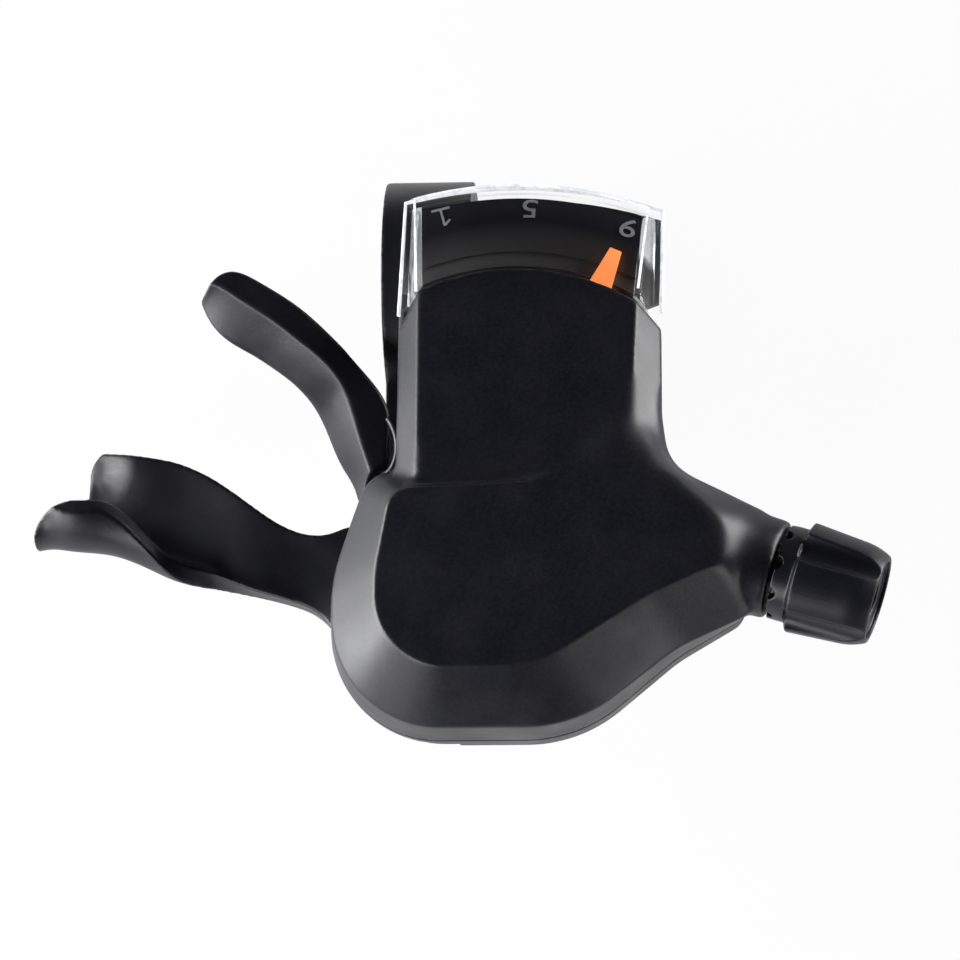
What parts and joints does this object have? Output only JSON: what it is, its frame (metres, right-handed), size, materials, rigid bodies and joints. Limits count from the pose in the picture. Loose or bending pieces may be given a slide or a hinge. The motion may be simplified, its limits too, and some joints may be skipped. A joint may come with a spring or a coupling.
{
  "type": "trigger gear shifter",
  "caption": "Right-hand trigger gear shifter for a handlebar: bar clamp, thumb lever, finger trigger, gear window with needle and a cable barrel adjuster.",
  "frame": {"origin": "centre of the handlebar clamp's bore, halfway along its width", "axes": "+X along the handlebar towards the cable adjuster's side, +Y across the bar away from the mechanism, +Z from the base plate up to the cover's flat face"},
  "size_m": [0.1057, 0.0733, 0.0495],
  "materials": {
    "cover_plastic": "satin",
    "window_clear": "clear",
    "dial_plastic": "matt",
    "bracket_metal": "satin",
    "fastener_steel": "satin",
    "axle_steel": "satin",
    "plate_steel": "satin",
    "spring_steel": "satin",
    "needle_orange": "gloss",
    "spool_plastic": "satin",
    "lever_plastic": "satin",
    "insert_brass": "satin",
    "adjuster_alloy": "satin",
    "ferrule_plastic": "satin",
    "knob_plastic": "satin"
  },
  "bodies": {
    "housing": {"top_cover": "cover_plastic", "bottom_cover": "cover_plastic", "display_lens": "window_clear", "dial_plate": "dial_plastic", "indicator_base": "dial_plastic", "bracket": "bracket_metal", "clamp_bolt": "fastener_steel", "clamp_nut": "fastener_steel", "main_axle": "axle_steel", "axle_washer": "axle_steel", "axle_nut": "axle_steel", "cover_screw_a": "fastener_steel", "cover_screw_b": "fastener_steel", "cover_screw_c": "fastener_steel", "needle_pivot_pin": "axle_steel", "trigger_pivot_pin": "axle_steel", "trigger_pin_clip": "axle_steel", "lever_return_spring": "spring_steel", "trigger_return_spring": "spring_steel", "adjuster_seat": "insert_brass"},
    "main_lever": {"main_lever_plate": "plate_steel", "main_lever_paddle": "lever_plastic", "feed_pawl_pin": "axle_steel"},
    "feed_pawl": {"feed_pawl": "plate_steel"},
    "trigger": {"trigger_plate": "plate_steel", "trigger_paddle": "lever_plastic"},
    "stop_pawl": {"stop_pawl": "plate_steel"},
    "spool": {"cable_spool": "spool_plastic", "ratchet_wheel": "plate_steel"},
    "needle": {"indicator_needle": "needle_orange"},
    "cable_ferrule": {"adjuster_ferrule": "ferrule_plastic"},
    "adjuster": {"adjuster_screw": "adjuster_alloy", "adjuster_knob": "knob_plastic"}
  },
  "joints": [
    {"name": "main_lever_swing", "type": "hinge", "parent": "housing", "child": "main_lever", "pos_m": [0.011, -0.0395, 0.00685], "axis": [0, 0, 1], "range_deg": [0, 40], "stiffness_Nm_per_rad": 0.25, "springref_deg": -34.38},
    {"name": "feed_pawl_swing", "type": "hinge", "parent": "main_lever", "child": "feed_pawl", "pos_m": [0.02764, -0.04184, 0.0108], "axis": [0, 0, 1], "range_deg": [0, 10], "stiffness_Nm_per_rad": 0.004, "springref_deg": -17.19},
    {"name": "trigger_swing", "type": "hinge", "parent": "housing", "child": "trigger", "pos_m": [-0.0035, -0.0282, 0.0084], "axis": [0, 0, 1], "range_deg": [-15, 0], "stiffness_Nm_per_rad": 0.2, "springref_deg": 28.65},
    {"name": "stop_pawl_lift", "type": "hinge", "parent": "housing", "child": "stop_pawl", "pos_m": [-0.0035, -0.0282, 0.0108], "axis": [0, 0, 1], "range_deg": [-15, 0]},
    {"name": "spool_turn", "type": "hinge", "parent": "housing", "child": "spool", "pos_m": [0.011, -0.0395, 0.0143], "axis": [0, 0, 1], "range_deg": [0, 106.67]},
    {"name": "needle_swing", "type": "hinge", "parent": "housing", "child": "needle", "pos_m": [0.0113, -0.0275, 0.0213], "axis": [0, 0, 1], "range_deg": [0, 38.4]},
    {"name": "adjuster_travel", "type": "slide", "parent": "housing", "child": "cable_ferrule", "axis": [0.9448, -0.3106, 0.1045], "range_m": [0, 0.004]},
    {"name": "adjuster_turn", "type": "hinge", "parent": "cable_ferrule", "child": "adjuster", "pos_m": [0.05066, -0.04178, 0.01834], "axis": [0.9448, -0.3106, 0.1045], "range_deg": [0, 1801]}
  ],
  "couplings": [
    {"joint": "stop_pawl_lift", "follows": "trigger_swing", "ratio": 1},
    {"joint": "needle_swing", "follows": "spool_turn", "ratio": 0.35906},
    {"joint": "adjuster_turn", "follows": "adjuster_travel", "rad_per_m": 7854}
  ]
}
